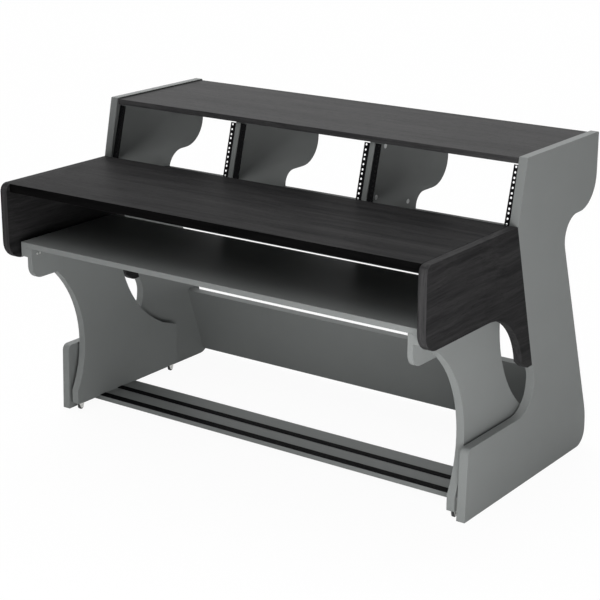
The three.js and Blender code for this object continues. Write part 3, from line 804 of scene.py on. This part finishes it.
def wheel_pattern(radius, width):
    """A castor wheel about X at the origin: tread, grooved sides, hub and bore."""
    wheel = rod_at("wheel_pattern", radius, width, (0, 0, 0), (1, 0, 0), WHEEL_SIDES)
    bpy.ops.object.mode_set(mode="EDIT")
    for way in (-1, 1):
        choose(wheel, "faces", lambda face: face.normal.x * way > FACING)
        bpy.ops.mesh.inset(thickness=WHEEL_TREAD)
        pushed((-way * WHEEL_GROOVE_DEPTH, 0, 0))
        bpy.ops.mesh.inset(thickness=WHEEL_GROOVE)
        pushed((way * WHEEL_GROOVE_DEPTH, 0, 0))
        bpy.ops.mesh.inset(thickness=radius - WHEEL_TREAD - WHEEL_GROOVE - WHEEL_BORE)
    choose(wheel, "faces", lambda face: len(face.verts) == WHEEL_SIDES)
    bpy.ops.mesh.bridge_edge_loops()
    choose_edges(wheel, lambda co: (
        abs(math.hypot(co.y, co.z) - radius) < SAME and abs(abs(co.x) - width / 2) < SAME
    ))
    bpy.ops.mesh.bevel(offset=WHEEL_RIM, segments=4, affect="EDGES")
    bpy.ops.mesh.select_all(action="SELECT")
    bpy.ops.mesh.normals_make_consistent(inside=False)
    bpy.ops.object.mode_set(mode="OBJECT")
    return wheel


def axle_pattern(length):
    """A riveted pin about X at the origin: length is the whole length, heads included."""
    seat, spread = length / 2 - RIVET_RISE, RIVET_RADIUS / AXLE_RADIUS
    pin = rod_at("axle_pattern", AXLE_RADIUS, 2 * seat, (0, 0, 0), (1, 0, 0), ROUND_SIDES)
    bpy.ops.object.mode_set(mode="EDIT")
    for way in (-1, 1):
        choose(pin, "faces", lambda face: face.normal.x * way > FACING)
        pushed((0, 0, 0))
        bpy.ops.transform.resize(value=(1, spread, spread), center_override=(way * seat, 0, 0))
        pushed((way * RIVET_RISE, 0, 0))
    choose_edges(pin, lambda co: (
        abs(co.x) > seat + RIVET_RISE / 2 and math.hypot(co.y, co.z) > RIVET_RADIUS - SAME
    ))
    bpy.ops.mesh.bevel(offset=RIVET_DOME, segments=4, affect="EDGES")
    bpy.ops.object.mode_set(mode="OBJECT")
    return pin


def ribbed_strip(node):
    """An anti-slip strip: ribs and grooves along its whole length, with a rib at either side."""
    rib = bpy.context.scene.desk_hardware_sizes.rib
    low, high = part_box(node)
    centre = centre_of(node)
    rows = 2 * round((high.y - low.y) / rib / 2) - 1
    pitch = (high.y - low.y) / rows
    groove = high.z - GROOVE_DEPTH
    bpy.ops.mesh.primitive_grid_add(
        x_subdivisions=1, y_subdivisions=rows, size=1, location=(centre.x, centre.y, groove)
    )
    strip = bpy.context.active_object
    strip.name = f"{node}_ribbed"
    strip.scale = (high.x - low.x, high.y - low.y, 1)
    bpy.ops.object.transform_apply(location=True, rotation=True, scale=True)
    bpy.ops.object.mode_set(mode="EDIT")
    bpy.ops.mesh.select_all(action="SELECT")
    pushed((0, 0, low.z - groove))
    bpy.ops.mesh.select_all(action="SELECT")
    bpy.ops.mesh.normals_make_consistent(inside=False)

    def on_rib(face):
        row = round((face.calc_center_median().y - low.y) / pitch - 0.5)
        return face.normal.z > FACING and row % 2 == 0

    choose(strip, "faces", on_rib)
    pushed((0, 0, high.z - groove))
    choose(strip, "edges", lambda edge: along_x(edge) and all(v.co.z > high.z - SAME for v in edge.verts))
    bpy.ops.mesh.bevel(offset=RIB_EDGE, segments=2, affect="EDGES")
    bpy.ops.object.mode_set(mode="OBJECT")
    return strip


# ---------------------------------------------------------------- operators


class DESK_OT_grey_boards(bpy.types.Operator):
    """Make the grey laminate boards, with their free edges eased"""

    bl_idname = "desk.grey_boards"
    bl_label = "Grey boards"

    def execute(self, context):
        for node, body in GREY_BOARDS.items():
            board(node, body, "grey_board", made_once("grey_laminate", grey_laminate))
        return {"FINISHED"}


class DESK_OT_wenge_boards(bpy.types.Operator):
    """Make the dark wood-grain boards, with their free edges eased"""

    bl_idname = "desk.wenge_boards"
    bl_label = "Wood-grain boards"

    def execute(self, context):
        for node, (body, finish) in WENGE_BOARDS.items():
            board(node, body, "wenge_board", made_once(finish, wenge_grain))
        return {"FINISHED"}


class DESK_OT_rack_rails(bpy.types.Operator):
    """Make the rack rails with round holes and a bent flange, and their screws"""

    bl_idname = "desk.rack_rails"
    bl_label = "Rack rails"

    def execute(self, context):
        paint = made_once("powder_coat", powder_coat)
        pattern = rail_pattern()
        lean = Matrix.Rotation(-RAIL_LEAN, 4, "X")
        for node in node_names("rack_rail_"):
            low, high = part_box(node)
            left = node.endswith("_left")
            top = Vector((low.x if left else high.x, low.y + RAIL_LENGTH * math.sin(RAIL_LEAN), high.z))
            turned = Matrix.Diagonal((1 if left else -1, 1, 1, 1)) @ lean
            piece = placed_copy(pattern, f"{node}_bent", Matrix.Translation(top) @ turned)
            finished(piece, "desk", "black_steel", paint, node, smooth=STEEL_SMOOTH)
        bpy.data.objects.remove(pattern, do_unlink=True)
        screws("rail_screw_", 1, "desk", "black_steel", paint)
        return {"FINISHED"}


class DESK_OT_tray_screws(bpy.types.Operator):
    """Make the screws that hold the tray's arms to the legs"""

    bl_idname = "desk.tray_screws"
    bl_label = "Tray screws"

    def execute(self, context):
        screws("arm_screw_", 1, "trolley", "zinc_steel", made_once("zinc_plate", zinc_plate))
        return {"FINISHED"}


class DESK_OT_castors(bpy.types.Operator):
    """Make the castors: brackets, screws, wheels and riveted axles"""

    bl_idname = "desk.castors"
    bl_label = "Castors"

    def execute(self, context):
        zinc = made_once("zinc_plate", zinc_plate)
        plastic = made_once("wheel_plastic", moulded)
        for node in node_names("castor_bracket_"):
            piece = copy_of(node)
            eased(piece, lambda edge: not in_hole(edge), BRACKET_EDGE, BRACKET_EDGE_STEPS)
            finished(piece, "trolley", "zinc_steel", zinc, node, smooth=STEEL_SMOOTH)
        screws("castor_screw_", -1, "trolley", "zinc_steel", zinc)
        low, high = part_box("castor_wheel_front_left")
        wheel = wheel_pattern((high.z - low.z) / 2, high.x - low.x)
        for node in node_names("castor_wheel_"):
            piece = placed_copy(wheel, f"{node}_turned", Matrix.Translation(centre_of(node)))
            finished(piece, node.replace("castor_", ""), "black_plastic", plastic, node)
        low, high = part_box("castor_axle_front_left")
        pin = axle_pattern(high.x - low.x)
        for node in node_names("castor_axle_"):
            piece = placed_copy(pin, f"{node}_riveted", Matrix.Translation(centre_of(node)))
            finished(piece, "trolley", "zinc_steel", zinc, node)
        for pattern in (wheel, pin):
            bpy.data.objects.remove(pattern, do_unlink=True)
        return {"FINISHED"}


class DESK_OT_footrest_strips(bpy.types.Operator):
    """Make the ribbed strips on the footrest"""

    bl_idname = "desk.footrest_strips"
    bl_label = "Footrest strips"

    def execute(self, context):
        rubber = made_once("strip_rubber", moulded)
        for node in ("footrest_strip_front", "footrest_strip_rear"):
            finished(ribbed_strip(node), "trolley", "black_rubber", rubber, node)
        return {"FINISHED"}


class DESK_OT_cam_caps(bpy.types.Operator):
    """Make the caps over the cam bolts of the right divider"""

    bl_idname = "desk.cam_caps"
    bl_label = "Cam caps"

    def execute(self, context):
        radius = context.scene.desk_hardware_sizes.cap / 2
        plastic = made_once("cap_plastic", moulded)
        face_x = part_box("divider_right")[1].x
        for number, (y, z) in enumerate(CAP_PLACES, 1):
            cap = rod_at(f"cam_cap_{number}", radius, 2 * CAP_RISE, (face_x, y, z), (1, 0, 0), ROUND_SIDES)
            bpy.ops.object.mode_set(mode="EDIT")
            choose(cap, "faces", lambda face: face.normal.x > FACING)
            bpy.ops.mesh.inset(thickness=radius * CAP_RIM)
            pushed((-CAP_DISH, 0, 0))
            if not choose_edges(cap, lambda co: co.x > face_x + CAP_RISE - SAME):
                raise RuntimeError(f"{cap.name} has no rim")
            bpy.ops.mesh.bevel(offset=CAP_EDGE, segments=2, affect="EDGES")
            bpy.ops.object.mode_set(mode="OBJECT")
            finished(cap, "desk", "grey_board", plastic)
        return {"FINISHED"}


class DESK_OT_stage(bpy.types.Operator):
    """Make the floor, the sky, the lights and the camera"""

    bl_idname = "desk.stage"
    bl_label = "Stage"

    def execute(self, context):
        scene = context.scene
        bpy.ops.mesh.primitive_plane_add(size=FLOOR_SIZE)
        floor = context.active_object
        floor.name = "floor"
        paint = Finish("floor_paint", Specular_IOR_Level=0.0, Roughness=0.9, Base_Color=FLOOR_PAINT)
        glow = paint.node("ShaderNodeEmission", {}, {"Color": WHITE, "Strength": 1.0})
        plain = Number(paint, paint.shader.outputs[0])
        paint.blend(paint.seen_or_mirrored() * FLOOR_GLOW, plain, glow, "Material Output")
        floor.data.materials.append(paint.material)

        scene.world = bpy.data.worlds.new("studio")
        sky = Shading(scene.world)
        soft = sky.node("ShaderNodeBackground", {}, {"Color": WHITE, "Strength": SKY_LIGHT})
        plain = sky.node("ShaderNodeBackground", {}, {"Color": WHITE, "Strength": 1.0})
        sky.blend(sky.seen_or_mirrored(), soft, plain, "World Output")

        for name, (towards, angle, energy) in SOFT_LIGHTS.items():
            towards = Vector(towards).normalized()
            turn = towards.to_track_quat("Z", "Y").to_euler()
            bpy.ops.object.light_add(type="SUN", location=towards * SOFT_LIGHT_DISTANCE, rotation=turn)
            light = context.active_object
            light.name = name
            light.data.energy = energy
            light.data.angle = math.radians(angle)

        turn = (Vector(LOW_LIGHT_PLACE) - Vector(LOW_LIGHT_AIM)).to_track_quat("Z", "Y").to_euler()
        bpy.ops.object.light_add(type="AREA", location=LOW_LIGHT_PLACE, rotation=turn)
        low = context.active_object
        low.name = "low_light"
        low.data.shape = "RECTANGLE"
        low.data.size, low.data.size_y = LOW_LIGHT_SIZE
        low.data.energy = LOW_LIGHT_POWER
        low.visible_camera = False

        scene.view_settings.view_transform = "Standard"
        turn = [math.radians(angle) for angle in CAMERA_TURN]
        bpy.ops.object.camera_add(location=CAMERA_PLACE, rotation=turn)
        camera = context.active_object
        camera.name = "camera"
        camera.data.sensor_width = CAMERA_SENSOR
        camera.data.lens = CAMERA_LENS
        camera.data.clip_end = CAMERA_REACH
        scene.camera = camera
        return {"FINISHED"}


class DESK_PT_panel(bpy.types.Panel):
    """The desk's sizes, colours and pieces"""

    bl_label = "Studio desk"
    bl_idname = "DESK_PT_panel"
    bl_space_type = "VIEW_3D"
    bl_region_type = "UI"
    bl_category = "Desk"

    def draw(self, context):
        for name in GROUPS:
            group = getattr(context.scene, name)
            box = self.layout.box()
            for size in group.__annotations__:
                box.prop(group, size)
        for operator in OPERATORS:
            self.layout.operator(operator.bl_idname)


GROUPS = {
    "desk_board_sizes": DeskBoardSizes,
    "desk_hardware_sizes": DeskHardwareSizes,
    "desk_colours": DeskColours,
}
OPERATORS = (
    DESK_OT_grey_boards,
    DESK_OT_wenge_boards,
    DESK_OT_rack_rails,
    DESK_OT_tray_screws,
    DESK_OT_castors,
    DESK_OT_footrest_strips,
    DESK_OT_cam_caps,
    DESK_OT_stage,
)


def register():
    for name, group in GROUPS.items():
        bpy.utils.register_class(group)
        setattr(bpy.types.Scene, name, PointerProperty(type=group))
    for kind in (*OPERATORS, DESK_PT_panel):
        bpy.utils.register_class(kind)


def unregister():
    for kind in reversed((*OPERATORS, DESK_PT_panel)):
        bpy.utils.unregister_class(kind)
    for name, group in GROUPS.items():
        delattr(bpy.types.Scene, name)
        bpy.utils.unregister_class(group)


def main():
    register()
    deselect()
    bpy.ops.desk.grey_boards()
    bpy.ops.desk.wenge_boards()
    bpy.ops.desk.rack_rails()
    bpy.ops.desk.tray_screws()
    bpy.ops.desk.castors()
    bpy.ops.desk.footrest_strips()
    bpy.ops.desk.cam_caps()
    bpy.ops.desk.stage()


if __name__ == "__main__":
    main()
